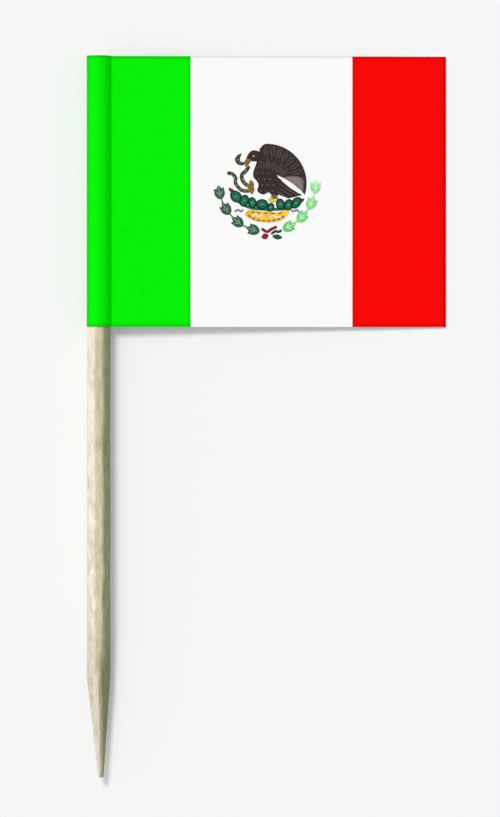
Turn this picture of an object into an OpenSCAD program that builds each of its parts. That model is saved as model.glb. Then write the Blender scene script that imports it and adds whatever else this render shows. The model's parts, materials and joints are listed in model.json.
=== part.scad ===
// Party flag on a one-pointed wooden toothpick, lying face up as it comes to rest.
// Every piece is first drawn upright: the stick stands on its point along Z, the flag
// reaches out towards +X and its front faces -Y. lying() then lays the whole thing down.

/* [Stick] */
// Length of the stick, from its tip to its flat end
stick_l = 64.8; // [58:0.1:90]
// Diameter of the bare shaft
stick_d = 2.15; // [1.8:0.05:3]
// Angle of the four-sided point, between ridges that lie opposite each other
point_angle = 10.8; // [10:0.1:24]
// Angle by which the point leans off the shaft's axis
point_lean = 1.3; // [0:0.1:1.5]
// Width of the blunt tip, from ridge to ridge
tip_d = 0.45; // [0.2:0.05:0.6]
// How far the tip lies to the side of the shaft's axis
tip_off = 0.2; // [0:0.05:0.5]
// Length of the neck below the flag, where the shaft narrows to its glued end
neck_l = 0.8; // [0.6:0.1:3]
// Chamfer round the flat end
end_chamfer = 0.1; // [0.05:0.05:0.3]

/* [Flag] */
// Width of the flag, from its folded edge to its free edge
flag_w = 32.4; // [29:0.1:50]
// Height of the flag
flag_h = 24.4; // [18:0.1:40]
// Thickness of the paper; the flag is one sheet folded to two leaves
paper_t = 0.08; // [0.06:0.01:0.14]
// How far the flag's top edge stands above the stick's flat end
flag_rise = 0.2; // [0:0.1:1]
// Radius of the crease beside the stick, where the two leaves come together
crease_r = 0.2; // [0.2:0.05:0.5]

/* [Bands] */
// Thickness of the printed ink
ink_t = 0.02; // [0.01:0.01:0.05]
// Width of the green band, from the folded edge
green_w = 9.35; // [6:0.05:11]
// Width of the red band, from the free edge
red_w = 8.45; // [6:0.05:11]

/* [Emblem] */
// Radius of the wreath
emblem_r = 4.6; // [2.5:0.05:5.5]
// How far the emblem stands above the flag's mid-height
emblem_lift = 0.75; // [-4:0.05:4]
// How far the emblem stands from the middle of the white band, towards the fold
emblem_shift = 0.4; // [-1:0.05:1]

/* [Hidden] */
$fn = 96;

// The glued end is slimmer by one leaf and its ink, so that the wrap lies flush with the shaft
wrap_t = paper_t + ink_t;
stick_r = stick_d / 2;
head_r = stick_r - wrap_t;
total_l = stick_l + flag_rise;
flag_z = total_l - flag_h;

// Distances from the stick's axis to the flag's free edge and to the edges of the bands
free_x = flag_w - stick_r;
green_x = green_w - stick_r;
red_x = free_x - red_w;

// Middle of the arc that rounds the crease: as far from the stick as from the flag's mid-plane
crease_x = sqrt(pow(head_r + crease_r, 2) - pow(crease_r, 2));

// Glue closes the narrow end of the gap by the crease, over this angle of the crease's arc
glue_turn = 30;
// Straight steps in the crease's arc
crease_steps = 8;

// The point's facets run out on the shaft where the ridges between them would stand out this
// far. The point leans, so they do so higher on one side than on the other.
ridge_slope = tan(point_angle / 2);
runout_r = stick_r * sqrt(2);
near_runout = (runout_r - tip_off - tip_d / 2) / tan(point_angle / 2 - point_lean);
far_runout = (runout_r + tip_off - tip_d / 2) / tan(point_angle / 2 + point_lean);

// Laid down, the flag tips until its free edge touches the floor as the shaft does
lie_angle = asin(stick_r / norm([free_x, wrap_t])) - atan(wrap_t / free_x);
lying_right = free_x * cos(lie_angle) + wrap_t * sin(lie_angle);

// The emblem is drawn on squares of this size, ten to the wreath's radius
square_w = emblem_r / 10;
emblem_at = [(green_x + red_x) / 2 - emblem_shift, flag_z + flag_h / 2 + emblem_lift];

// Tufts of leaves on each branch of the wreath
tufts = 4;
// Straight steps in a curve from one drawn point to the next, and along each side of a leaf
curve_steps = 4;

// Length that a cutter runs past the surface it cuts
past = 1;

module lying() {
    translate([(stick_r - lying_right) / 2, -total_l / 2, stick_r])
        rotate([0, lie_angle, 0])
            rotate([-90, 0, 0])
                children();
}

// What the sharpener takes off the round rod: all but a four-sided point that leans over to the
// tip, with one ridge up the middle of the front
module shavings() {
    top = max(near_runout, far_runout) + past;
    point_l = top + past;
    difference() {
        translate([0, 0, -past])
            cylinder(r = stick_r + past, h = top + past);
        translate([tip_off, 0, 0])
            rotate([0, -point_lean, 0])
                translate([0, 0, -tip_d])
                    cylinder(r1 = tip_d * (1 / 2 - ridge_slope),
                             r2 = tip_d / 2 + point_l * ridge_slope, h = tip_d + point_l, $fn = 4);
    }
}

module toothpick() {
    shaft_top = flag_z - neck_l;
    color([0.87, 0.84, 0.74]) lying() difference() {
        union() {
            cylinder(r = stick_r, h = shaft_top);
            translate([0, 0, shaft_top])
                cylinder(r1 = stick_r, r2 = head_r, h = neck_l);
            translate([0, 0, flag_z])
                cylinder(r = head_r, h = stick_l - end_chamfer - flag_z);
            translate([0, 0, stick_l - end_chamfer])
                cylinder(r1 = head_r, r2 = head_r - end_chamfer, h = end_chamfer);
        }
        shavings();
    }
}

// What fills the corner between the stick and the flag, on both sides, up to the crease's arcs.
// The arcs' end by the flag is left out over the angle skip.
module crease_fill(d, skip) {
    turn = atan(crease_x / crease_r);
    arc = [for (k = [0:crease_steps])
        let (a = turn + (skip - turn) * k / crease_steps, r = crease_r - d)
            [crease_x - r * sin(a), crease_r - r * cos(a)]];
    polygon(concat([[0, 0]], arc, backwards([for (p = arc) [p[0], -p[1]]])));
}

// Raises a cross-section over the flag's height, or past both its edges
module raised(over) {
    translate([0, 0, flag_z - over])
        linear_extrude(height = flag_h + 2 * over)
            children();
}

// All that lies within d of the stick's glued end and of the flag's mid-plane, out to reach.
// The sheet leaves the stick in a bend of its own, so that it is never kinked.
module fold_body(d, reach, over) {
    raised(over) circle(r = head_r + d);
    raised(over) translate([0, -d]) square([reach, 2 * d]);
    raised(over) crease_fill(d, 0);
}

// What the fold leaves open inside: the stick's bore, and the slim gap towards the crease
module fold_hollow() {
    raised(past) circle(r = head_r);
    raised(past) crease_fill(0, glue_turn);
}

module flag_paper() {
    color([0.97, 0.97, 0.96]) lying() difference() {
        fold_body(paper_t, free_x, 0);
        fold_hollow();
    }
}

module green_band() {
    color([0, 0.9, 0.05]) lying() difference() {
        fold_body(wrap_t, green_x, 0);
        fold_body(paper_t, green_x + past, past);
    }
}

// Ink on both faces of the flag, from a drawing in the plane of its front
module printed() {
    lying() for (side = [0, 1])
        mirror([0, side, 0])
            translate([0, -paper_t, 0])
                rotate([90, 0, 0])
                    linear_extrude(height = ink_t)
                        children();
}

module emblem() {
    printed()
        translate(emblem_at)
            children();
}

module red_band() {
    color([0.93, 0.02, 0.02]) printed()
        translate([red_x, flag_z])
            square([red_w, flag_h]);
}

// A smooth curve through given points of the drawing, which are counted in squares
function spline(a, b, c, d, t) = square_w / 2 * (2 * b + (c - a) * t
    + (2 * a - 5 * b + 4 * c - d) * t * t + (3 * b - a - 3 * c + d) * t * t * t);
function curve(p) = let (last = len(p) - 1) concat(
    [for (i = [0:last - 1]) for (k = [0:curve_steps - 1])
        spline(p[max(i - 1, 0)], p[i], p[i + 1], p[min(i + 2, last)], k / curve_steps)],
    [square_w * p[last]]);
function ring(p) = let (n = len(p)) [for (i = [0:n - 1]) for (k = [0:curve_steps - 1])
    spline(p[(i + n - 1) % n], p[i], p[(i + 1) % n], p[(i + 2) % n], k / curve_steps)];

// Points beside a curve q, for a stroke of width w, and round its end
function heading(q, i) =
    let (step = q[min(i + 1, len(q) - 1)] - q[max(i - 1, 0)]) step / norm(step);
function beside(q, w) = [for (i = [0:len(q) - 1])
    let (h = heading(q, i)) q[i] + w / 2 * [-h[1], h[0]]];
function round_end(p, h, w) = [for (a = [60:-30:-60])
    p + w / 2 * [h[0] * cos(a) - h[1] * sin(a), h[1] * cos(a) + h[0] * sin(a)]];
function backwards(q) = [for (i = [len(q) - 1:-1:0]) q[i]];

module stroke(p, w) {
    q = curve(p);
    last = len(q) - 1;
    line_w = w * square_w;
    polygon(concat(beside(q, line_w), round_end(q[last], heading(q, last), line_w),
                   backwards(beside(q, -line_w)), round_end(q[0], -heading(q, 0), line_w)));
}

module blot(p) {
    polygon(ring(p));
}

module dot(p, r) {
    translate(square_w * p)
        circle(r = r * square_w);
}

module oval(p, turn, l, w) {
    translate(square_w * p)
        rotate(turn)
            blot([[l / 2, 0], [0, w / 2], [-l / 2, 0], [0, -w / 2]]);
}

// One side of a leaf l squares long and w wide: an arc from its foot to its point
function leaf_side(l, w) =
    let (r = (l * l + w * w) / (4 * w), a = asin(l / (2 * r)))
        [for (k = [0:curve_steps])
            let (t = a * (2 * k / curve_steps - 1)) [l / 2 + r * sin(t), w / 2 - r + r * cos(t)]];

// A pointed leaf that starts at p
module leaf(p, turn, l, w) {
    side = leaf_side(l, w);
    back = [for (k = [curve_steps - 1:-1:1]) [side[k][0], -side[k][1]]];
    translate(square_w * p)
        rotate(turn)
            polygon(square_w * concat(side, back));
}

// Light gap between the spread wing and the tail
module wing_gap() {
    leaf([1.8, 1.7], -36, 7.4, 1);
}

module wing() {
    intersection() {
        dot([0, 0], 7.75);
        polygon(square_w * [[-1.5, 2], [-1.5, 6.7], [-0.9, 7.4], [0, 8], [9, 9], [9, -2.3],
                            [7.3, -2.3], [1.6, 1.8]]);
    }
}

module body() {
    blot([[-1.9, 5.2], [-2.1, 3.9], [-2.6, 2.6], [-2.7, 1.3], [-1.7, -0.1], [-1.9, -1.5], [-0.8, -2.2],
          [0.4, -1.8], [1.3, -2.9], [2.3, -2.1], [2.3, -0.6], [2.1, 1.4], [1, 4.5], [-0.8, 5.9]]);
    polygon(square_w * [[1.4, 1.6], [3.4, 0.4], [6.9, -2.3], [4.2, -2.95], [1.9, -2.1]]);
}

module head() {
    blot([[-1.2, 5.9], [-2.5, 6.5], [-3.5, 6], [-4.1, 4.7], [-3.3, 4.4], [-2.5, 4.3], [-1.4, 4.4]]);
}

// Pale quill by the gap, and two rows of feathers that fan out over the wing
module feathers() {
    difference() {
        blot([[3.4, 1.1], [5, 1.4], [6.9, 1], [7.1, -0.6], [6.8, -1.8], [5, -0.4]]);
        wing_gap();
    }
    for (turn = [20:12:92])
        rotate(turn)
            leaf([5.1, 0], 0, 2.2, 1);
    for (turn = [33:18:105])
        rotate(turn)
            leaf([2.7, 0], 0, 2.1, 1);
}

// The eagle's beak, the foot that grips the serpent and the one that stands on the cactus
module claws() {
    blot([[-3.1, 4.5], [-3.9, 4.8], [-4.5, 4.2], [-4.4, 3.6], [-3.9, 3], [-3.6, 3.7]]);
    for (turn = [120, 165, 210, 250])
        leaf([-2.6, -0.7], turn, 1.6, 0.8);
    for (turn = [240, 275, 310])
        leaf([1.3, -2.2], turn, 1.3, 0.6);
}

// Pads of the cactus, which stand on one low stem
module pads() {
    oval([-6.1, -2.6], -50, 2.7, 2.2);
    oval([-4.5, -3.4], 70, 2.5, 2);
    oval([-2.9, -3.8], 100, 2.3, 1.7);
    oval([-1, -4.1], 0, 2.6, 2.1);
    oval([0.7, -4.7], 70, 1.8, 1.3);
    oval([2.6, -4.1], 100, 2.4, 1.8);
    oval([4.2, -4.2], 75, 2.4, 1.8);
    oval([5.7, -3.8], 50, 2.7, 1.8);
    stroke([[-5.6, -3.6], [-4.3, -4.4], [-2.6, -4.9], [0.2, -5.1], [3.2, -5], [5, -4.6]], 0.6);
}

module flower() {
    for (turn = [50, 90, 130])
        leaf([1, -3.9], turn, 1.2, 0.6);
}

// One tuft of the wreath: a spray of leaves that lies along its line
module tuft(turn) {
    rotate(turn) {
        leaf([9.5, -1.3], 90, 2.8, 1.2);
        for (side = [1, -1])
            leaf([9.5, -1.4], 90 + 28 * side, 2.1, 0.9);
        for (side = [1, -1])
            leaf([9.5, -0.5], 90 + 36 * side, 1.7, 0.8);
    }
}

// A branch of the wreath, with tufts from its foot to its tip
module branch(foot, tip) {
    intersection() {
        difference() {
            dot([0, 0], 9.6);
            dot([0, 0], 9.35);
        }
        polygon(square_w * [[0, 0], 14 * [cos(foot), sin(foot)], 14 * [cos(tip), sin(tip)]]);
    }
    for (i = [0:tufts - 1])
        tuft(foot + (tip - foot) * i / (tufts - 1));
}

module eagle_print() {
    color([0.2, 0.17, 0.17]) emblem() difference() {
        union() {
            wing();
            body();
            head();
        }
        wing_gap();
        feathers();
        claws();
    }
}

module feather_print() {
    color([0.36, 0.32, 0.31]) emblem() feathers();
}

module claw_print() {
    color([0.66, 0.58, 0.27]) emblem() difference() {
        claws();
        flower();
    }
}

module serpent_print() {
    color([0.24, 0.27, 0.22]) emblem() difference() {
        union() {
            blot([[-4.2, 4], [-4.9, 3.5], [-5.9, 3.8], [-6.3, 4.7], [-5.8, 5.5], [-5, 5.8],
                  [-5.3, 5], [-5.2, 4.3]]);
            stroke([[-3.7, 3.1], [-4.1, 2.5], [-4.9, 1.7], [-4.9, 0.8], [-4.4, 0], [-3.8, -0.4]], 0.75);
            stroke([[-3.6, -1.5], [-4.9, -1.4], [-5.7, -0.7], [-6.2, 0.1], [-6.2, 1.1], [-6.8, 1.8],
                    [-7.5, 2]], 0.7);
        }
        claws();
    }
}

module cactus_print() {
    color([0.11, 0.35, 0.27]) emblem() difference() {
        pads();
        claws();
        flower();
    }
}

module flower_print() {
    color([0.8, 0.8, 0.3]) emblem() flower();
}

module fruit_print() {
    color([0.43, 0.14, 0.16]) emblem() difference() {
        union() {
            leaf([-6.3, -2], 140, 1.7, 0.8);
            leaf([5.8, -3.9], 30, 1.8, 0.8);
        }
        pads();
    }
}

module islet_print() {
    color([0.92, 0.75, 0.3]) emblem() difference() {
        blot([[-3.9, -5.4], [-2.6, -5.2], [-1.2, -5.6], [0.4, -5.4], [2, -5.7], [3.8, -5.2],
              [4.3, -5.9], [2.7, -7.3], [0.3, -7.7], [-2.4, -7.4], [-4.3, -6.3]]);
        pads();
        stroke([[-2.9, -6.4], [-2.3, -6.1], [-1.7, -6.5], [-1, -6.2]], 0.25);
        stroke([[0.6, -6.6], [1.3, -6.3], [1.9, -6.7], [2.7, -6.4]], 0.25);
    }
}

module water_print() {
    color([0.45, 0.52, 0.6]) emblem() for (side = [0, 1])
        mirror([side, 0])
            stroke([[-6.2, -5.5], [-5.7, -5.2], [-5.2, -5.5], [-4.8, -5.3]], 0.4);
}

module oak_print() {
    color([0.24, 0.38, 0.3]) emblem()
        mirror([1, 0])
            branch(-73, -11);
}

module laurel_print() {
    color([0.5, 0.83, 0.5]) emblem() branch(-63, -4);
}

// The bow that ties the two branches together, with a red end and a green one
module red_bow_print() {
    color([0.5, 0.13, 0.16]) emblem() {
        stroke([[-0.9, -9], [0, -9.5], [0.8, -9], [1.7, -8.6]], 0.55);
        oval([-0.4, -10.4], 20, 1.5, 1.2);
    }
}

module green_bow_print() {
    color([0.17, 0.3, 0.22]) emblem() {
        stroke([[1, -9.8], [1.6, -9.4], [2.2, -9.5], [2.7, -9.3]], 0.5);
        oval([2, -10.5], -10, 2, 1);
    }
}

toothpick();
flag_paper();
green_band();
red_band();
eagle_print();
feather_print();
claw_print();
serpent_print();
cactus_print();
flower_print();
fruit_print();
islet_print();
water_print();
oak_print();
laurel_print();
red_bow_print();
green_bow_print();
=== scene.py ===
# %% [markdown]
# A flag toothpick: a small paper flag, printed in green, white and red with an emblem, that is
# folded and glued round the flat end of a wooden stick with one sharpened point. It lies face
# up on a white table. The solids are ready and come in at their real size, in metres. This
# script gives each one its finish, and carves the stick's wood finer than its plain solid.

# %% Load the solids
import json
import math

import bmesh
import bpy
import numpy as np
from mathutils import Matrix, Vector


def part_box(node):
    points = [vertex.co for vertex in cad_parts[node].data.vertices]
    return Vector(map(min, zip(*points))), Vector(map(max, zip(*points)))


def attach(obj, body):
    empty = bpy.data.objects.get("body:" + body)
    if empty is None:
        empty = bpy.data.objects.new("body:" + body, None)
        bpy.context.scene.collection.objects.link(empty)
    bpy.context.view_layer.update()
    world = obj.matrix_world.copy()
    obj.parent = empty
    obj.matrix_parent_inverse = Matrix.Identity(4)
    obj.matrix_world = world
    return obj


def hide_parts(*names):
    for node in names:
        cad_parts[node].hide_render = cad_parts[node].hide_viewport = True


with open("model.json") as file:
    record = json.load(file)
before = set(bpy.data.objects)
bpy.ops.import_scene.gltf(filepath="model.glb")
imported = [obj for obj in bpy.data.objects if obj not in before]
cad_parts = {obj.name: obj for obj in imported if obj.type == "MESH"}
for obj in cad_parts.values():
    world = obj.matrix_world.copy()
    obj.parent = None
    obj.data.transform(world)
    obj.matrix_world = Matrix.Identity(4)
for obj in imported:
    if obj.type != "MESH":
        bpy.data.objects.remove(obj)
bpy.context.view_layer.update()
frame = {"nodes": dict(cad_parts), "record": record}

MM = 0.001

# %% [markdown]
# The camera hangs straight over the flag. A long lens far away keeps the flag's edges parallel,
# as a product picture does. Its height comes from the picture's scale: so many pixels to a
# millimetre give the height of the field, and the lens then gives the distance. The two pixel
# places say where the stick's middle line and its tip are in that picture.

# %% Camera
PICTURE_W = 500
PICTURE_H = 817
PX_PER_MM = 11.1
STICK_PX = 98.7
TIP_PX = 777.5
LENS = 200
SENSOR = 36

shaft = next(m for m in frame["record"]["mounts"] if m["name"] == "pick_shaft")
stick_x, _, stick_z = shaft["pos_m"]
stick_r = shaft["dims"]["r_mm"] * MM
stick_low, stick_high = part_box("toothpick")

camera_data = bpy.data.cameras.new("camera")
camera_data.lens = LENS
camera_data.sensor_width = SENSOR
camera = bpy.data.objects.new("camera", camera_data)
bpy.context.scene.collection.objects.link(camera)
bpy.context.scene.camera = camera
camera.location = (
    stick_x + (PICTURE_W / 2 - STICK_PX) / PX_PER_MM * MM,
    stick_low.y + (TIP_PX - PICTURE_H / 2) / PX_PER_MM * MM,
    stick_z + PICTURE_H / PX_PER_MM * MM * LENS / SENSOR,
)
print("The camera hangs", round(camera.location.z / MM), "mm over the table")

# %% [markdown]
# Finishes and the room's light are small networks of nodes. Built by hand in Blender's editor
# they are a tangle of links. In a script a few helpers keep them short: one makes a material and
# hands back its shader, one adds a node and fills or links its inputs in one go, and the rest
# are sums that most networks need.

# %% Helpers for networks
def new_finish(name):
    finish = bpy.data.materials.new(name)
    finish.use_nodes = True
    return finish, finish.node_tree.nodes["Principled BSDF"]


def add(network, kind, inputs=(), **settings):
    """Adds a node; inputs are pairs of a socket and the value or the output that feeds it."""
    made = network.node_tree.nodes.new("ShaderNode" + kind)
    for name, value in settings.items():
        setattr(made, name, value)
    for socket, value in inputs:
        if isinstance(value, bpy.types.NodeSocket):
            network.node_tree.links.new(value, made.inputs[socket])
        else:
            made.inputs[socket].default_value = value
    return made


def link(network, output, node, socket):
    network.node_tree.links.new(output, node.inputs[socket])


def reckon(network, how, first, second=0.0):
    """One sum, such as MULTIPLY or SUBTRACT, on two numbers or outputs."""
    return add(network, "Math", [(0, first), (1, second)], operation=how).outputs[0]


def times(network, first, second):
    return reckon(network, "MULTIPLY", first, second)


def plus(network, first, second):
    return reckon(network, "ADD", first, second)


def spread(network, value, low, high, to_low, to_high):
    """Turns a value between low and high into one between to_low and to_high."""
    made = add(network, "MapRange", [("Value", value), ("From Min", low), ("From Max", high),
                                     ("To Min", to_low), ("To Max", to_high)])
    return made.outputs["Result"]


# %% [markdown]
# The light is that of a plain studio, with one large soft lamp at the upper left. An area lamp
# so near would fade along the stick. A sun lamp with a wide angle gives the same soft shadow
# everywhere. Its share is the light that it gives to a sheet flat on the table, where 1 would
# show a white sheet as white.

# %% Lamp
LAMP_HEIGHT = math.radians(50)
LAMP_SIDE = math.radians(118)
LAMP_ANGLE = math.radians(20)
LAMP_SHARE = 0.48

lamp_data = bpy.data.lights.new("lamp", "SUN")
lamp_data.angle = LAMP_ANGLE
lamp_data.energy = LAMP_SHARE * math.pi / math.sin(LAMP_HEIGHT)
lamp = bpy.data.objects.new("lamp", lamp_data)
bpy.context.scene.collection.objects.link(lamp)
lamp_way = Vector((math.cos(LAMP_HEIGHT) * math.cos(LAMP_SIDE),
                   math.cos(LAMP_HEIGHT) * math.sin(LAMP_SIDE), math.sin(LAMP_HEIGHT)))
lamp.rotation_euler = lamp_way.to_track_quat("Z", "Y").to_euler()
print("The lamp stands", round(math.degrees(LAMP_HEIGHT)), "degrees up")

# %% [markdown]
# A pale room all round fills the shadows. It is brighter on the left, so that the round stick
# turns from light to dark across its width. Lamp and room together give a flat sheet just its
# full light, and as white paper sends back a little less, it shows just under white. What the
# camera or a gloss sees of the room itself is plain white.

# %% Room
ROOM_SHARE = 0.53
ROOM_LEAN = 0.14
ROOM_BRIGHT_WAY = (-0.94, 0.34, 0.0)
WHITE = (1, 1, 1, 1)

room = bpy.data.worlds.new("room")
room.use_nodes = True
bpy.context.scene.world = room
fill = room.node_tree.nodes["Background"]
fill.inputs["Color"].default_value = WHITE
way = add(room, "TexCoord").outputs["Generated"]
leftward = add(room, "VectorMath", [(0, way), (1, ROOM_BRIGHT_WAY)],
               operation="DOT_PRODUCT").outputs["Value"]
strength = spread(room, leftward, -1, 1, ROOM_SHARE - ROOM_LEAN, ROOM_SHARE + ROOM_LEAN)
link(room, strength, fill, "Strength")


def seen_directly(network):
    """1 for a ray from the camera or off a glossy or clear surface, 0 for the rest."""
    path = add(network, "LightPath")
    seen = plus(network, path.outputs["Is Camera Ray"], path.outputs["Is Glossy Ray"])
    seen = plus(network, seen, path.outputs["Is Transmission Ray"])
    return reckon(network, "MINIMUM", seen, 1.0)


white_room = add(room, "Background", [("Color", WHITE), ("Strength", 1.0)])
choice = add(room, "MixShader", [(0, seen_directly(room))])
link(room, fill.outputs[0], choice, 1)
link(room, white_room.outputs[0], choice, 2)
link(room, choice.outputs[0], room.node_tree.nodes["World Output"], "Surface")

bpy.context.scene.view_settings.view_transform = "Standard"
print("A flat sheet gets", round(LAMP_SHARE + ROOM_SHARE, 2), "of its full light")

# %% [markdown]
# The table is one large white sheet just under the flag. It takes the shadow as any matt surface
# does, and adds a little white of its own towards the camera. So it shows as white paper round a
# shadow that stays, and the flag itself gets no more light for it.

# %% Table
TABLE_HALF = 2.0
TABLE_DROP = 0.01 * MM
TABLE_COLOUR = 0.76
TABLE_LIFT = 0.158

table_mesh = bpy.data.meshes.new("table")
corners = [(x * TABLE_HALF, y * TABLE_HALF, -TABLE_DROP)
           for x, y in ((-1, -1), (1, -1), (1, 1), (-1, 1))]
table_mesh.from_pydata(corners, [], [(0, 1, 2, 3)])
table = bpy.data.objects.new("table", table_mesh)
bpy.context.scene.collection.objects.link(table)

table_finish, table_shader = new_finish("table_white")
table_shader.inputs["Base Color"].default_value = (*[TABLE_COLOUR] * 3, 1)
table_shader.inputs["Roughness"].default_value = 1.0
table_shader.inputs["Specular IOR Level"].default_value = 0.0
table_shader.inputs["Emission Color"].default_value = WHITE
link(table_finish, times(table_finish, seen_directly(table_finish), TABLE_LIFT), table_shader,
     "Emission Strength")
table_mesh.materials.append(table_finish)
print("The table is", 2 * TABLE_HALF, "m wide and lies", TABLE_DROP / MM, "mm under the flag")

# %% [markdown]
# The stick is birch, shaved round by a machine and cut to a point with four strokes of a blade.
# A bare cylinder looks like plastic, so the wood is built again, ring by ring, inside its plain
# solid. First the solid is measured: how thick the stick is where it shows, how thick in the
# fold of the paper, and how far its flat end is bevelled.

# %% Measures of the stick
SLICE = 0.01 * MM

stick_points = np.array([v.co for v in frame["nodes"]["toothpick"].data.vertices])
out_x, out_z = stick_points[:, 0] - stick_x, stick_points[:, 2] - stick_z
off_axis = np.hypot(out_x, out_z)
flag_low, flag_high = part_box("flag_paper")
head_r = off_axis[stick_points[:, 1] > flag_low.y + MM].max()
flat_end = off_axis[stick_points[:, 1] > stick_high.y - SLICE]
end_chamfer = head_r - flat_end.max()
print("The stick is", round(2 * stick_r / MM, 2), "mm thick, and in the fold",
      round(2 * head_r / MM, 2), "mm")

# %% [markdown]
# The point has four ridges, where two cuts of the blade meet. Each runs straight from a corner
# of the blunt tip to a spot on the shaft. The point leans a little, so they end at different
# heights and can't be worked out from one angle. They are looked up on the solid: for each way
# round the stick, the outermost corner of the tip and the lowest spot on the round shaft.

# %% Ridges of the point
WAYS = {"left": (-1, 0), "top": (0, 1), "right": (1, 0), "under": (0, -1)}
ON_SHAFT = 0.002 * MM
NEAR_WAY = 0.95

shaft_top = shaft["pos_m"][1] + shaft["dims"]["length_mm"] / 2 * MM
at_tip = stick_points[:, 1] < stick_low.y + SLICE
on_shaft = (off_axis > stick_r - ON_SHAFT) & (stick_points[:, 1] < shaft_top - MM)
ridges = {}
for way_name, (rightward, upward) in WAYS.items():
    reach = out_x * rightward + out_z * upward
    tip_corner = stick_points[at_tip][np.argmax(reach[at_tip])]
    near_way = stick_points[on_shaft & (reach > NEAR_WAY * stick_r)]
    ridges[way_name] = (tip_corner, near_way[np.argmin(near_way[:, 1])])
shoulder_y = max(top[1] for _, top in ridges.values())
print("The four ridges run", [round((top[1] - tip[1]) / MM, 2) for tip, top in ridges.values()],
      "mm up the point")

# %% [markdown]
# Open grain runs along the stick as long shallow grooves. Bump would show them only in the
# light, not at the stick's edge, so they are part of the mesh. Smoothed random numbers give
# their depth: three sheets of them, one finer than the other, are wrapped round the stick and
# stretched along it. The numbers are seeded, so that the wood is the same each time.

# %% Grain of the wood
AROUND = 176
GRAIN_SEED = 11
GRAIN_BASE = 0.5
GRAINS = ((16, 9.0, 0.3), (37, 5.0, 0.35), (71, 2.2, 0.25))


def wrapped_noise(rings_at, columns, cell_along, seed):
    """Smooth noise from -1 to 1, one row for each ring, that closes round the stick."""
    random = np.random.default_rng(seed)
    rows = math.ceil((stick_high.y - stick_low.y) / cell_along) + 2
    sheet = random.uniform(-1, 1, (rows, columns))
    u = np.arange(AROUND) / AROUND * columns
    v = (rings_at - stick_low.y) / cell_along
    ui, vi = np.floor(u).astype(int), np.floor(v).astype(int)
    us, vs = u - ui, (v - vi)[:, None]
    us, vs = us * us * (3 - 2 * us), vs * vs * (3 - 2 * vs)
    upper = sheet[vi][:, ui] * (1 - us) + sheet[vi][:, (ui + 1) % columns] * us
    lower = sheet[vi + 1][:, ui] * (1 - us) + sheet[vi + 1][:, (ui + 1) % columns] * us
    return upper * (1 - vs) + lower * vs


def grain_depth(rings_at):
    """How deep the open grain is, from 0 to 1, by grooves round the stick, length and share."""
    depth = GRAIN_BASE
    for k, (columns, length, share) in enumerate(GRAINS):
        depth = depth + share * wrapped_noise(rings_at, columns, length * MM, GRAIN_SEED + k)
    return np.clip(depth, 0, 1)


# %% [markdown]
# Every ring is a closed line of points that starts as a circle. A flat is a straight line that
# cuts across it, and how far the ring reaches in some direction is the shortest way to any of
# these lines. The two functions give 1 over that way for all directions at once, because the
# shortest way is then the largest number, and a line that isn't met counts as 0.

# %% Lines that cut a ring
turn = np.arange(AROUND) / AROUND * 2 * math.pi
looks = np.stack([np.sin(turn), np.cos(turn)], axis=1)
axis_at = np.array([stick_x, stick_z])


def circle_ways(middle, radius):
    """1 / the way from the middle to a circle round the stick's axis."""
    away = looks @ (middle - axis_at)
    way = -away + np.sqrt(away ** 2 - (middle - axis_at) @ (middle - axis_at) + radius ** 2)
    return 1 / way


def line_ways(middle, foot, normal):
    """1 / the way from the middle to a straight line, or 0 where it isn't met."""
    return np.maximum(looks @ normal, 0) / (normal @ (foot - middle))


# %% [markdown]
# The machine leaves eight shallow flats on the shaft, and the blade four deep ones on the point.
# Both are straight lines in a ring. Each facet of the point runs between two ridges. A shallow
# flat lies at a set share of the radius and wanders a little, and fades away in the neck, where
# the stick slims down to go into the fold.

# %% Flats and facets
NECK = 0.15 * MM
FLATS_AT = (0.95, 0.945, 0.985, 0.96, 0.95, 0.955, 0.985, 0.945)
FLAT_WANDER = 0.03

neck_low = flag_low.y - NECK


def corners_at(y):
    """Where the point's four ridges pass a height; above the point they lie outside the stick."""
    corners = []
    for tip, top in ridges.values():
        share = (y - tip[1]) / (top[1] - tip[1])
        corners.append((tip + (top - tip) * share)[[0, 2]])
    return corners


def facet_ways(middle, corners):
    """The four facets between the ridges."""
    ways = []
    for k, first in enumerate(corners):
        along = corners[(k + 1) % len(corners)] - first
        normal = np.array([-along[1], along[0]]) / np.hypot(*along)
        ways.append(line_ways(middle, first, normal))
    return ways


def flat_ways(middle, radius, neck, wander):
    """The machine's shallow flats round the shaft."""
    ways = []
    for k, flat_at in enumerate(FLATS_AT):
        side = 2 * math.pi * k / len(FLATS_AT)
        normal = np.array([math.sin(side), math.cos(side)])
        flat = radius * (1 - (1 - flat_at - FLAT_WANDER * wander[k]) * (1 - neck))
        ways.append(line_ways(middle, axis_at + normal * flat, normal))
    return ways


print("The flats are cut up to", round((1 - min(FLATS_AT)) * stick_r / MM, 3), "mm deep")

# %% [markdown]
# A ring takes the shortest way to all its lines. A sharp minimum would leave knife edges where
# two of them meet. A rounded one, the root of a sum of high powers, keeps the ridges a little
# blunt, as sanded wood is. The grain then lowers each point, and the last rings of the tip close
# in to a small round.

# %% One ring
RIDGE_KEEN = 60
GRAIN_DEPTH = 0.014 * MM
TIP_ROUND = 0.08 * MM
TIP_CLOSE = 0.6


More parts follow.
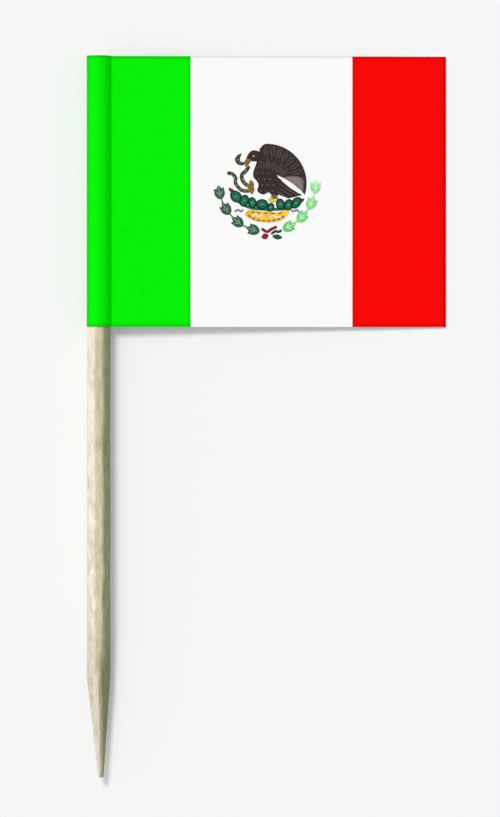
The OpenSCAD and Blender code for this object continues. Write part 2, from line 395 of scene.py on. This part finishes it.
def ring(y, depth, wander):
    """The points of one ring, by how deep its grain is and how far its flats wander."""
    neck = np.clip((y - neck_low) / NECK, 0, 1)
    radius = stick_r + (head_r - stick_r) * neck
    radius = min(radius, head_r - end_chamfer + (stick_high.y - y))
    corners = corners_at(y)
    inside = [axis_at + (c - axis_at) * min(1, radius / np.hypot(*(c - axis_at))) for c in corners]
    middle = np.mean(inside, axis=0)
    ways = [circle_ways(middle, radius)] + facet_ways(middle, corners)
    ways = np.array(ways + flat_ways(middle, radius, neck, wander)) * stick_r
    reach = stick_r / np.sum(ways ** RIDGE_KEEN, axis=0) ** (1 / RIDGE_KEEN)
    shown = np.clip((flag_low.y - y) / NECK, 0, 1)
    reach -= GRAIN_DEPTH * depth * shown * np.minimum(1, reach / stick_r)
    reach *= 1 - TIP_CLOSE * max(0, 1 - (y - stick_low.y) / TIP_ROUND) ** 2
    spots = middle + looks * reach[:, None]
    return np.stack([spots[:, 0], np.full(AROUND, y), spots[:, 1]], axis=1)


# %% [markdown]
# The rings stand close together where the form changes, at the tip, the point and the neck, and
# far apart in the fold, where the paper hides the wood. One even step, as small as the tip
# needs it, would take some ten times as many.

# %% All rings
SHAFT_STEP = 0.25 * MM
POINT_STEP = 0.12 * MM
HEAD_STEP = 1.5 * MM
TIP_STEP = TIP_ROUND / 3
NECK_STEP = NECK / 3
WANDER_LENGTH = 6 * MM


def steps(low, high, step):
    return np.linspace(low, high, max(2, math.ceil((high - low) / step) + 1))[:-1]


rings_at = np.concatenate([
    steps(stick_low.y, stick_low.y + 2 * TIP_ROUND, TIP_STEP),
    steps(stick_low.y + 2 * TIP_ROUND, shoulder_y + MM, POINT_STEP),
    steps(shoulder_y + MM, neck_low, SHAFT_STEP),
    steps(neck_low, flag_low.y, NECK_STEP),
    steps(flag_low.y, stick_high.y - end_chamfer, HEAD_STEP),
    [stick_high.y - end_chamfer, stick_high.y],
])
depths = grain_depth(rings_at)
wanders = wrapped_noise(rings_at, len(FLATS_AT), WANDER_LENGTH, GRAIN_SEED + len(GRAINS))
wanders = wanders[:, ::AROUND // len(FLATS_AT)]
stick_rings = np.stack([ring(*values) for values in zip(rings_at, depths, wanders)])
print(len(rings_at), "rings of", AROUND, "points")

# %% [markdown]
# The rings become one closed mesh: four-sided faces between neighbours, and a fan of triangles
# over each end. It is shaded smooth, but an edge that turns by more than the sharp turn stays
# crisp, as the rim of the flat end does. The mesh then stands for the plain solid, which stays
# hidden underneath.

# %% Mesh of the stick
SHARP_TURN = math.radians(40)


def skin(name, rings):
    """A closed mesh over rings of points, with a fan over each end."""
    count, around = rings.shape[:2]
    points = [tuple(p) for p in rings.reshape(-1, 3)]
    points += [tuple(rings[0].mean(0)), tuple(rings[-1].mean(0))]
    faces = []
    for k in range(count - 1):
        for i in range(around):
            a, b = k * around + i, k * around + (i + 1) % around
            faces.append((a, b, b + around, a + around))
    last = (count - 1) * around
    for i in range(around):
        faces.append((count * around, (i + 1) % around, i))
        faces.append((count * around + 1, last + i, last + (i + 1) % around))
    mesh = bpy.data.meshes.new(name)
    mesh.from_pydata(points, [], faces)
    mesh.shade_smooth()
    piece = bpy.data.objects.new(name, mesh)
    bpy.context.scene.collection.objects.link(piece)
    return piece


stick = skin("stick_wood", stick_rings)
stick.data.set_sharp_from_angle(angle=SHARP_TURN)
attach(stick, "root")
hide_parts("toothpick")
print("The stick has", len(stick.data.polygons), "faces")

# %% [markdown]
# Grain needs coordinates. These come from the object itself, in millimetres, so that the grain
# stays in the piece wherever the camera or the light goes. Noise whose spots are long one way
# looks like fibres, and noise with round spots like stains. Colours are written as a screen shows
# them, from 0 to 255, and turned into the amounts of light that a shader counts in.

# %% Helpers for grain and colour
def place_along(finish, axis):
    """The object's own coordinate along an axis, in metres."""
    place = add(finish, "TexCoord").outputs["Object"]
    return add(finish, "SeparateXYZ", [(0, place)]).outputs[axis]


def speckle(finish, grain, detail=2.0, shift=0.0):
    """Soft noise from 0 to 1, with spots about as large as the grain, in millimetres."""
    place = add(finish, "TexCoord").outputs["Object"]
    scale = [1 / (g * MM) for g in grain]
    place = add(finish, "Mapping", [("Vector", place), ("Scale", scale)]).outputs["Vector"]
    if shift:
        place = add(finish, "VectorMath", [(0, place), (1, (shift,) * 3)]).outputs["Vector"]
    made = add(finish, "TexNoise", [("Vector", place), ("Scale", 1.0), ("Detail", detail)])
    return made.outputs["Fac"]


def linear(r, g, b):
    """A screen colour, from 0 to 255, as the amount of light that a shader counts in."""
    parts = [c / 255 for c in (r, g, b)]
    return tuple(c / 12.92 if c <= 0.04045 else ((c + 0.055) / 1.055) ** 2.4 for c in parts)


def mix(finish, share, first, second, how="MIX"):
    """Mixes two colours, or multiplies them, by a share from 0 to 1."""
    made = add(finish, "Mix", [("Factor", share)], data_type="RGBA", blend_type=how)
    for socket, value in ((6, first), (7, second)):
        if isinstance(value, bpy.types.NodeSocket):
            finish.node_tree.links.new(value, made.inputs[socket])
        else:
            made.inputs[socket].default_value = (*value, 1)
    return made.outputs[2]


def shaded(finish, colour, tone):
    """A colour made darker or lighter by a tone around 1."""
    grey = add(finish, "CombineColor", [(k, tone) for k in range(3)]).outputs[0]
    return mix(finish, 1.0, colour, grey, how="MULTIPLY")


def raise_up(finish, shader, height, depth, strength=1.0):
    """Bumps the surface by a height from 0 to 1, which stands for a depth in millimetres."""
    bump = add(finish, "Bump", [("Height", height), ("Distance", depth * MM),
                                ("Strength", strength)])
    link(finish, bump.outputs["Normal"], shader, "Normal")


# %% [markdown]
# Birch is a pale cream with a greenish grey tint in it. A ramp across the stick colours it in
# three soft bands, which wander a little: pale on the left, tan in the middle and olive on the
# right. They are partly layers of the wood and partly painted light and shade: the pale band is
# painted light on the side towards the lamp, the olive band painted shade on the side away from
# it. Where the point starts, the blade cuts across the bands, and they close up into a V.

# %% Layers and painted shade of the wood
PALE_LAYER_AND_LIGHT = linear(235, 229, 212)
TAN_LAYER = linear(206, 201, 170)
OLIVE_LAYER_AND_SHADE = linear(146, 151, 119)
LAYERS_AND_SHADE = ((0.0, PALE_LAYER_AND_LIGHT), (0.28, PALE_LAYER_AND_LIGHT), (0.43, TAN_LAYER), (0.62, TAN_LAYER),
          (0.78, OLIVE_LAYER_AND_SHADE), (1.0, OLIVE_LAYER_AND_SHADE))
BAND_EDGE_GRAIN = (0.7, 5.0, 0.7)
BAND_EDGE_WANDER = 0.09
MOST_NOISE = (0.25, 0.75)
CLOSE_ACROSS = (0.64, 0.575)
CLOSE_WIDTH = (0.38, 1.0)
CLOSE_FROM = 1.8 * MM
CLOSE_TO = -1.2 * MM


def ramp(finish, value, stops):
    """A colour for each value from 0 to 1, by stops of a place and a colour."""
    made = add(finish, "ValToRGB", [("Fac", value)])
    colours = made.color_ramp.elements
    while len(colours) < len(stops):
        colours.new(0.5)
    for element, (at, colour) in zip(colours, stops):
        element.position = at
        element.color = (*colour, 1)
    return made.outputs["Color"]


wood, wood_shader = new_finish("birch")
up_stick = place_along(wood, "Y")
# The bands follow the object's X across the stick: pale painted light on the left, towards the
# lamp, olive painted shade on the right.
side = spread(wood, place_along(wood, "X"), stick_x - stick_r, stick_x + stick_r, 0, 1)
close_at = spread(wood, up_stick, stick_low.y, shoulder_y, *CLOSE_ACROSS)
close_width = spread(wood, up_stick, shoulder_y + CLOSE_TO, shoulder_y + CLOSE_FROM, *CLOSE_WIDTH)
across = reckon(wood, "SUBTRACT", side, close_at)
across = reckon(wood, "DIVIDE", across, close_width)
across = plus(wood, across, CLOSE_ACROSS[1])
wander = spread(wood, speckle(wood, BAND_EDGE_GRAIN, detail=4.0), *MOST_NOISE,
                -BAND_EDGE_WANDER, BAND_EDGE_WANDER)
base = ramp(wood, plus(wood, across, wander), LAYERS_AND_SHADE)
# The three bands are partly layers of the wood and partly painted light and shade.
print("The wood has", len(LAYERS_AND_SHADE) // 2, "layers")

# %% [markdown]
# Stains lie over the bands: small rosy and mossy ones all along, and a dull greenish cast down
# the left side of the lower half. Each multiplies the colour below it by its tint, as a thin
# glaze does, so that the bands still show through.

# %% Stains of the wood
ROSE_GRAIN = (0.4, 1.1, 0.4)
ROSE_TINT = (0.9, 0.82, 0.72)
MOSS_GRAIN = (0.4, 1.8, 0.4)
MOSS_TINT = (0.88, 0.91, 0.74)
STAIN_EDGE = (0.48, 0.72)
STAIN_MOST = 0.9
DULL_FROM = 24 * MM
DULL_TO = 15 * MM
DULL_ACROSS = (0.1, 0.3)
DULL_TINT = (0.85, 0.92, 0.91)

for grain, tint, shift in ((ROSE_GRAIN, ROSE_TINT, 7.7), (MOSS_GRAIN, MOSS_TINT, 1.9)):
    stain = speckle(wood, grain, detail=3.0, shift=shift)
    stain = spread(wood, stain, *STAIN_EDGE, 0, STAIN_MOST)
    base = mix(wood, stain, base, tint, how="MULTIPLY")
low_down = spread(wood, up_stick, stick_low.y + DULL_TO, stick_low.y + DULL_FROM, 1, 0)
dull = times(wood, spread(wood, side, *DULL_ACROSS, 1, 0), low_down)
base = mix(wood, dull, base, DULL_TINT, how="MULTIPLY")
print("The dull side fades out", DULL_FROM / MM, "mm above the tip")

# %% [markdown]
# Last come the marks that make it darker or lighter: long fibres, short dark pores, and soft
# clouds. The blade has left the facets of the point a little greyer than the shaft. The fibres
# drive the roughness too, and they alone are fine enough to be left to bump.

# %% Fibres and pores
FIBRE_GRAIN = (0.08, 3.2, 0.08)
FIBRE_TONE = (0.88, 1.08)
FIBRE_ROUGH = (0.55, 0.75)
PORE_GRAIN = (0.05, 0.8, 0.05)
PORE_EDGE = (0.68, 0.76)
PORE_DARK = 0.75
CLOUD_GRAIN = (0.5, 1.2, 0.5)
CLOUD_TONE = (0.9, 1.14)
SOFT_NOISE = (0.3, 0.7)
CUT_FROM = 6 * MM
CUT_TONE = 0.84

fibres = speckle(wood, FIBRE_GRAIN, detail=3.0, shift=3.1)
pores = speckle(wood, PORE_GRAIN, detail=1.0, shift=5.3)
clouds = speckle(wood, CLOUD_GRAIN, detail=2.0, shift=9.2)
tone = spread(wood, fibres, *SOFT_NOISE, *FIBRE_TONE)
tone = times(wood, tone, spread(wood, pores, *PORE_EDGE, 1.0, PORE_DARK))
tone = times(wood, tone, spread(wood, clouds, *SOFT_NOISE, *CLOUD_TONE))
tone = times(wood, tone, spread(wood, up_stick, shoulder_y, shoulder_y + CUT_FROM, CUT_TONE, 1))
link(wood, shaded(wood, base, tone), wood_shader, "Base Color")
link(wood, spread(wood, fibres, *SOFT_NOISE, *FIBRE_ROUGH), wood_shader, "Roughness")
wood_shader.inputs["Specular IOR Level"].default_value = 0.25
raise_up(wood, wood_shader, fibres, depth=0.02)
stick.data.materials.append(wood)
print("The birch takes", len(wood.node_tree.nodes), "nodes")

# %% [markdown]
# The flag is one sheet of smooth white paper, folded to two leaves. Its solid has the right
# shape and stays, so it only needs a finish. The bump is a felt of short fibres that cross each
# other, far finer than the wood's. A thin grey line of painted shade runs along the upper edge.

# %% Paper
PAPER_WHITE = linear(251, 251, 250)
PAPER_SHADE = linear(247, 247, 247)
SHADE_GRAIN = (1.5, 1.5, 1.5)
UP_GRAIN = (0.05, 0.35, 0.05)
ACROSS_GRAIN = (0.35, 0.05, 0.05)
TOP_EDGE_SHADE = 0.74
EDGE_W = 0.22 * MM


def felt(finish):
    """The paper's own surface: the mean of fibres that run up it and across it."""
    fibres_up = speckle(finish, UP_GRAIN)
    fibres_across = speckle(finish, ACROSS_GRAIN, shift=2.3)
    return times(finish, plus(finish, fibres_up, fibres_across), 0.5)


def near(finish, axis, edge, width, at_edge):
    """at_edge on an edge, and 1 from a width away."""
    apart = reckon(finish, "SUBTRACT", place_along(finish, axis), edge)
    return spread(finish, reckon(finish, "ABSOLUTE", apart), 0, width, at_edge, 1)


paper, paper_shader = new_finish("white_paper")
base = mix(paper, speckle(paper, SHADE_GRAIN, detail=3.0), PAPER_WHITE, PAPER_SHADE)
# Painted shade: a grey line along the upper edge of the paper.
edge = near(paper, "Y", flag_high.y, EDGE_W, TOP_EDGE_SHADE)
link(paper, shaded(paper, base, edge), paper_shader, "Base Color")
paper_shader.inputs["Roughness"].default_value = 0.75
paper_shader.inputs["Specular IOR Level"].default_value = 0.2
raise_up(paper, paper_shader, felt(paper), depth=0.008, strength=0.6)
frame["nodes"]["flag_paper"].data.materials[0] = paper
print("The paper takes", len(paper.node_tree.nodes), "nodes")

# %% [markdown]
# Printed ink follows the paper and lets a trace of it show. A flat colour would look like a
# sticker. Each colour is the same recipe with its own numbers: an even tone that wanders, as an
# inked roller leaves it, fine specks where the fibres stayed bare, and a slight gloss. It can
# be darker along given edges, and it can turn to a second colour between two heights.

# %% Recipe for ink
ROLLER_GRAIN = (0.9, 0.9, 0.9)
SPECK_GRAIN = (0.06, 0.06, 0.06)


def ink(name, colour, wander=0.14, specks=0.16, edges=(), fade=None):
    """A finish of ink; edges are as near() takes them, fade is a colour and two heights."""
    finish, shader = new_finish(name)
    tone = spread(finish, speckle(finish, ROLLER_GRAIN, detail=3.0), *SOFT_NOISE,
                  1 - wander, 1 + wander)
    fine = spread(finish, speckle(finish, SPECK_GRAIN, shift=4.1), *SOFT_NOISE,
                  1 - specks, 1 + specks)
    tone = times(finish, tone, fine)
    for edge in edges:
        tone = times(finish, tone, near(finish, *edge))
    if fade:
        other, low, high = fade
        height = spread(finish, place_along(finish, "Y"), low, high, 0, 1)
        colour = mix(finish, height, colour, other)
    link(finish, shaded(finish, colour, tone), shader, "Base Color")
    shader.inputs["Roughness"].default_value = 0.55
    shader.inputs["Specular IOR Level"].default_value = 0.04
    raise_up(finish, shader, felt(finish), depth=0.006, strength=0.5)
    return finish


# %% [markdown]
# The two bands are large fields of full ink, so they hardly wander. Each is darker along its
# edges: least where a band meets the white paper, where ink gathers and dries darker, and more
# along the cut edges and the fold, most at the flag's free edge, where the darkening is partly
# gathered ink and partly painted shade.

# %% Printed bands
GREEN = linear(0, 240, 0)
RED = linear(248, 0, 0)
BAND_WANDER = 0.02
BAND_SPECKS = 0.03
RIM_W = 0.4 * MM
CUT_RIM_AND_SHADE = 0.66
INNER_RIM = 0.78
FREE_RIM_AND_SHADE = 0.42

green_low, green_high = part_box("green_band")
red_low, red_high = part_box("red_band")
# The rims along the cut edges, the fold and the free edge are painted shade as well as gathered
# ink.
cuts = [("Y", flag_low.y, RIM_W, CUT_RIM_AND_SHADE), ("Y", flag_high.y, RIM_W, CUT_RIM_AND_SHADE)]
sides = {
    "green": [("X", green_low.x, RIM_W, CUT_RIM_AND_SHADE), ("X", green_high.x, RIM_W, INNER_RIM)],
    "red": [("X", red_low.x, RIM_W, INNER_RIM), ("X", red_high.x, RIM_W, FREE_RIM_AND_SHADE)],
}
for band, colour in (("green", GREEN), ("red", RED)):
    finish = ink(band + "_ink", colour, BAND_WANDER, BAND_SPECKS, edges=cuts + sides[band])
    frame["nodes"][band + "_band"].data.materials[0] = finish
print("Green is", round((green_high.x - green_low.x) / MM, 2), "mm wide and red",
      round((red_high.x - red_low.x) / MM, 2), "mm")

# %% [markdown]
# The emblem is printed with the same recipe. Its inks are darker and thinner, so they wander
# more. It was drawn on small squares, and the round of the eagle's wing gives its middle. Two
# colours change over their area: the quills by the gap in the wing are paler than the feathers
# above them, and the laurel fades towards its tip.

# %% Printed emblem
SQUARE = 0.46 * MM
WING_ROUND = 7.75 * SQUARE
QUILLS_FROM = 1.6 * SQUARE
QUILLS_FULL = 1.2 * SQUARE
EMBLEM = {
    "eagle_print": linear(56, 46, 46),
    "feather_print": linear(78, 68, 66),
    "claw_print": linear(140, 114, 60),
    "serpent_print": linear(62, 66, 54),
    "cactus_print": linear(38, 106, 82),
    "flower_print": linear(214, 212, 84),
    "fruit_print": linear(110, 42, 46),
    "islet_print": linear(238, 194, 78),
    "water_print": linear(126, 138, 158),
    "oak_print": linear(58, 92, 72),
    "laurel_print": linear(104, 204, 104),
    "red_bow_print": linear(130, 38, 44),
    "green_bow_print": linear(46, 78, 58),
}
PALE_QUILLS = linear(122, 110, 110)
PALE_LAUREL = linear(168, 230, 168)

eagle_low, eagle_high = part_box("eagle_print")
middle_y = eagle_high.y - WING_ROUND
laurel_low, laurel_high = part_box("laurel_print")
fades = {
    "feather_print": (PALE_QUILLS, middle_y + QUILLS_FROM, middle_y + QUILLS_FULL),
    "laurel_print": (PALE_LAUREL, laurel_low.y, laurel_high.y),
}
for node_name, colour in EMBLEM.items():
    finish = ink(node_name.replace("print", "ink"), colour, fade=fades.get(node_name))
    frame["nodes"][node_name].data.materials[0] = finish
print(len(EMBLEM), "inks for the emblem")

# %% [markdown]
# The emblem's finest lines lie over its colours: ribs of feathers, scales, veins, the rims of
# the cactus pads. The flag slopes down to the table, so they are laid out on the plane of its
# front, which the red band's largest face gives, and once more on its back, as the print is on
# both. The middle of the drawing on that plane is where all of them are counted from.

# %% Plane of the flag
red_faces = frame["nodes"]["red_band"].data.polygons
front = max(red_faces, key=lambda face: face.normal.z * face.area)
back = min(red_faces, key=lambda face: face.normal.z * face.area)
flag_out = front.normal.copy()
flag_right = Vector((flag_out.z, 0, -flag_out.x))
flag_up = Vector((0, 1, 0))
front_at, back_at = front.center.dot(flag_out), back.center.dot(flag_out)
middle_x = eagle_high.x - WING_ROUND * flag_right.x
emblem_at = Vector((middle_x, middle_y, (front_at - middle_x * flag_out.x) / flag_out.z))
print("The flag slopes by", round(math.degrees(math.asin(flag_out.x)), 2), "degrees")

# %% [markdown]
# Each line is a slim ribbon that swells and tapers like the stroke of a pen. A texture would
# need a picture, and a curve with a round section would stand up like wire. So a stroke is two
# rows of corners, to the left and right of its middle line, and one that ends where it starts is
# a ring of even width.

# %% Stroke of a pen
LINE_PARTS = 4
LINE_END = 0.3


def stroke(points, width):
    """The two sides of a line along some points, in squares, and whether it is a ring."""
    spots = []
    for near_end, far_end in zip(points, points[1:]):
        spots += [Vector(near_end).lerp(Vector(far_end), k / LINE_PARTS) for k in range(LINE_PARTS)]
    spots.append(Vector(points[-1]))
    closed = spots[0] == spots[-1]
    last = len(spots) - 1
    pairs = []
    for k, spot in enumerate(spots):
        swell = 1 if closed else LINE_END + (1 - LINE_END) * math.sin(math.pi * k / last)
        before = spots[last - 1] if closed and k == 0 else spots[max(k - 1, 0)]
        after = spots[1] if closed and k == last else spots[min(k + 1, last)]
        ahead = after - before
        left = Vector((-ahead.y, ahead.x)).normalized() * width / 2 * swell
        pairs.append((spot + left, spot - left))
    return (pairs[:-1] if closed else pairs), closed


# %% [markdown]
# A ribbon is a closed body: it stands a few thousandths of a millimetre proud of the ink and
# reaches a little way into it, so that its foot never shows. Lines that cross stand at slightly
# different heights, so that no two faces share a plane and flicker.

# %% Ribbon on the flag
LINE_UP = 0.005 * MM
LINE_STEP = 0.0008 * MM
LINE_LEVELS = 4
LINE_DOWN = 0.004 * MM
RIBBON_SIDES = ((0, 1), (1, 3), (3, 2), (2, 0))


def ribbon(pairs, closed, foot, outward, height):
    """The points and faces of one ribbon, by how far it stands out from a foot on the flag."""
    points = []
    for pair in pairs:
        for raised in (height, -LINE_DOWN):
            for u, v in pair:
                spot = emblem_at + (flag_right * u + flag_up * v) * SQUARE
                points.append(spot - foot + outward * raised)
    last = len(points) - 4
    faces = []
    for a in range(0, last + 4 if closed else last, 4):
        b = 0 if a == last else a + 4
        faces += [(a + i, a + j, b + j, b + i) for i, j in RIBBON_SIDES]
    if not closed:
        faces.append((0, 2, 3, 1))
        faces.append((last, last + 1, last + 3, last + 2))
    return points, faces


# %% [markdown]
# All lines of one kind are one piece, in one ink of its own. The piece rides on the root body.
# Its faces are turned outwards at the end, as a mesh that is made from lists has them facing
# either way.

# %% Lines in one ink
def draw(name, colour, lines):
    """Lays lines, each a list of points and a width, on both faces of the flag as one piece."""
    points, faces = [], []
    for foot, outward in ((flag_out * 0, flag_out), (flag_out * (front_at - back_at), -flag_out)):
        for turn_no, (line, width) in enumerate(lines):
            height = LINE_UP + turn_no % LINE_LEVELS * LINE_STEP
            more_points, more_faces = ribbon(*stroke(line, width), foot, outward, height)
            faces += [tuple(len(points) + k for k in face) for face in more_faces]
            points += more_points
    mesh = bpy.data.meshes.new(name)
    mesh.from_pydata(points, [], faces)
    turned = bmesh.new()
    turned.from_mesh(mesh)
    bmesh.ops.recalc_face_normals(turned, faces=turned.faces)
    turned.to_mesh(mesh)
    turned.free()
    piece = bpy.data.objects.new(name, mesh)
    bpy.context.scene.collection.objects.link(piece)
    piece.data.materials.append(ink(name, colour))
    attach(piece, "root")
    print(name, len(lines), "lines")


# %% [markdown]
# Feathers lie in rings round the middle of the wing, so their ribs are short rays at even turns,
# in two rings of different length. Pale flecks mark the feathers' ends between the rings and
# along the rim. The breast is too round for rays and has rows of small ticks instead.

# %% Lines of the feathers
RIB_W = 0.17
FLECK_W = 0.2
OUTER_RIBS = (5.3, 7.1)
OUTER_TURNS = range(20, 93, 12)
INNER_RIBS = (2.9, 4.6)
INNER_TURNS = range(33, 106, 18)
END_FLECKS = (4.75, 5.1)
END_TURNS = range(26, 102, 9)
RIM_FLECKS = (7.1, 7.45)
RIM_TURNS = range(2, 100, 7)
TICK_ROWS = ((-1.5, 1), (-1.7, 1), (-1.9, 3), (-1.6, 3), (-1.0, 3), (-1.2, 3))
TICK_TOP = 4.3
TICK_ROW = 1.15
TICK_APART = 1.1
TICK_W = 0.28
TICK_H = 0.16


def ray(turn_deg, start, end):
    """A line straight out from the middle, at a turn in degrees, between two distances."""
    x, y = math.cos(math.radians(turn_deg)), math.sin(math.radians(turn_deg))
    return [(start * x, start * y), (end * x, end * y)]


ribs = [(ray(turn_deg, *OUTER_RIBS), RIB_W) for turn_deg in OUTER_TURNS]
ribs += [(ray(turn_deg, *INNER_RIBS), RIB_W) for turn_deg in INNER_TURNS]
draw("feather_ribs", linear(44, 36, 36), ribs)

flecks = [(ray(turn_deg, *END_FLECKS), FLECK_W) for turn_deg in END_TURNS]
flecks += [(ray(turn_deg, *RIM_FLECKS), FLECK_W) for turn_deg in RIM_TURNS]
for row, (left_end, ticks) in enumerate(TICK_ROWS):
    for k in range(ticks):
        u, v = left_end + TICK_APART * k, TICK_TOP - TICK_ROW * row
        tick = [(u - TICK_W, v + TICK_H), (u, v - TICK_H), (u + TICK_W, v + TICK_H)]
        flecks.append((tick, FLECK_W))
draw("eagle_flecks", linear(92, 80, 77), flecks)

# %% [markdown]
# The quills beside the gap in the wing and the feathers of the tail are long and almost
# straight, so no rule is needed for the streaks along them. Each is drawn through three given
# points. They are paler on the quills than on the tail.

# %% Quills and tail
QUILLS = [
    [(3.9, 0.95), (5.2, 1.0), (6.7, 0.6)],
    [(4.5, 0.5), (5.6, 0.5), (6.8, 0.1)],
    [(5.3, 0.05), (6.0, 0.0), (6.8, -0.35)],
    [(5.9, -0.45), (6.4, -0.55), (6.8, -0.8)],
]
TAIL = [
    [(2.4, 0.0), (4.2, -1.3), (6.0, -2.3)],
    [(2.2, -0.8), (3.6, -1.7), (5.0, -2.5)],
    [(2.0, -1.5), (2.9, -2.1), (3.9, -2.7)],
]

draw("quill_streaks", linear(146, 134, 132), [(line, FLECK_W) for line in QUILLS])
draw("tail_streaks", linear(96, 86, 84), [(line, FLECK_W) for line in TAIL])

# %% [markdown]
# The raised claw and the standing foot spread their toes from one spot each, so a toe is a ray
# from there. One more line parts the two halves of the beak. The eye is a short broad stroke.

# %% Claws, beak and eye
CLAW_AT = (-2.6, -0.7)
CLAW_TURNS = (142, 187, 230)
CLAW_REACH = (0.3, 1.2)
FOOT_AT = (1.3, -2.2)
FOOT_TURNS = (257, 292)
FOOT_REACH = (0.2, 0.9)
BEAK = [(-4.3, 3.9), (-3.7, 4.1), (-3.2, 4.35)]
EYE = [(-2.8, 5.35), (-2.45, 5.35)]
EYE_W = 0.35


def toe(foot, turn_deg, start, end):
    """A line out from a foot, at a turn in degrees, between two distances."""
    return [(foot[0] + u, foot[1] + v) for u, v in ray(turn_deg, start, end)]


toes = [toe(CLAW_AT, turn_deg, *CLAW_REACH) for turn_deg in CLAW_TURNS]
toes += [toe(FOOT_AT, turn_deg, *FOOT_REACH) for turn_deg in FOOT_TURNS]
draw("claw_lines", linear(88, 66, 34), [(line, RIB_W) for line in toes + [BEAK]])
draw("eagle_eye", linear(222, 196, 120), [(EYE, EYE_W)])

# %% [markdown]
# Below the eagle grows the cactus, from a row of oval pads. Each pad has a dark rim a little way
# in from its edge, which is a smaller oval, and one pale spine in its middle. The table gives
# each pad's middle, turn in degrees, length and width, in squares.

# %% Lines of the cactus
PADS = ((-6.1, -2.6, -50, 2.7, 2.2), (-4.5, -3.4, 70, 2.5, 2.0), (-2.9, -3.8, 100, 2.3, 1.7),
        (-1.0, -4.1, 0, 2.6, 2.1), (0.7, -4.7, 70, 1.8, 1.3), (2.6, -4.1, 100, 2.4, 1.8),
        (4.2, -4.2, 75, 2.4, 1.8), (5.7, -3.8, 50, 2.7, 1.8))
PAD_RIM_AT = 0.84
PAD_RIM_W = 0.3
PAD_STEPS = 14
SPINE = (0.25, 0.1)
SPINE_W = 0.34


def oval(x, y, turn_deg, length, width, size):
    """A closed line round an oval of the drawing, at some share of its size."""
    c, s = math.cos(math.radians(turn_deg)), math.sin(math.radians(turn_deg))
    line = []
    for k in range(PAD_STEPS + 1):
        a = 2 * math.pi * k / PAD_STEPS
        u, v = length / 2 * size * math.cos(a), width / 2 * size * math.sin(a)
        line.append((x + u * c - v * s, y + u * s + v * c))
    return line


rims = [(oval(*pad, PAD_RIM_AT), PAD_RIM_W) for pad in PADS]
draw("cactus_rims", linear(18, 56, 42), rims)
right_by, up_by = SPINE
spines = [([(x - right_by, y - up_by), (x + right_by, y + up_by)], SPINE_W) for x, y, *_ in PADS]
draw("cactus_spines", linear(92, 166, 134), spines)

# %% [markdown]
# The serpent's scales and the marks of the islet are broken lines. It is simplest to draw the
# whole line, as a row of points, and to ink only the middle part of each step, as a dashed line
# does.

# %% Lines of the serpent and the islet
NECK_COIL = [(-3.9, 2.8), (-4.5, 2.1), (-4.9, 1.2), (-4.7, 0.4), (-4.1, -0.2)]
TAIL_COIL = [(-3.9, -1.5), (-4.9, -1.4), (-5.6, -0.8), (-6.1, 0.0), (-6.2, 0.8), (-6.6, 1.5),
             (-7.2, 1.9)]
HEAD_COIL = [(-4.9, 3.9), (-5.6, 4.3), (-5.8, 4.9)]
SCALE_W = 0.26
SHORE = [(-3.9, -6.1), (-3.1, -6.7), (-2.2, -7.1), (-1.2, -7.3), (-0.2, -7.4), (0.8, -7.3),
         (1.8, -7.15), (2.7, -6.8), (3.5, -6.3)]
SHORE_W = 0.38
REEDS = [(-3.4, -5.7), (-2.2, -5.6), (-1.0, -5.9), (0.4, -5.8), (1.8, -6.0), (3.2, -5.7)]
REED_W = 0.34


def dashes(points, inked=0.62):
    """The middle part of each step between points, as lines of their own."""
    lines = []
    for (u, v), (s, t) in zip(points, points[1:]):
        du, dv, rest = s - u, t - v, (1 - inked) / 2
        lines.append([(u + du * rest, v + dv * rest), (s - du * rest, t - dv * rest)])
    return lines


scales = [(line, SCALE_W) for coil in (NECK_COIL, TAIL_COIL, HEAD_COIL) for line in dashes(coil)]
draw("serpent_scales", linear(142, 146, 116), scales)
marks = [(line, SHORE_W) for line in dashes(SHORE, inked=0.75)]
marks += [(line, REED_W) for line in dashes(REEDS)]
draw("islet_marks", linear(156, 108, 46), marks)

# %% [markdown]
# The wreath is two branches with four tufts each, at even turns round the middle. Every tuft has
# a long vein and two short ones to its sides, paler than the leaf. They are drawn once, as on a
# tuft to the right of the middle, and turned into place. The oak's branch mirrors the laurel's.

# %% Lines of the wreath
VEIN_W = 0.22
VEINS = ([(9.5, -1.0), (9.5, 1.2)], [(9.5, -0.6), (10.1, 0.3)], [(9.5, -0.6), (8.9, 0.3)])
TUFTS = 4
OAK_TURNS = (-73, -11)
LAUREL_TURNS = (-63, -4)


def tuft_veins(foot, tip, mirrored):
    """The veins of all tufts on a branch, from the turn of its foot to that of its tip."""
    lines = []
    for k in range(TUFTS):
        angle = math.radians(foot + (tip - foot) * k / (TUFTS - 1))
        c, s = math.cos(angle), math.sin(angle)
        for vein in VEINS:
            line = [(x * c - y * s, x * s + y * c) for x, y in vein]
            lines.append(([(-x, y) for x, y in line] if mirrored else line, VEIN_W))
    return lines


draw("oak_veins", linear(128, 158, 136), tuft_veins(*OAK_TURNS, mirrored=True))
draw("laurel_veins", linear(204, 242, 204), tuft_veins(*LAUREL_TURNS, mirrored=False))
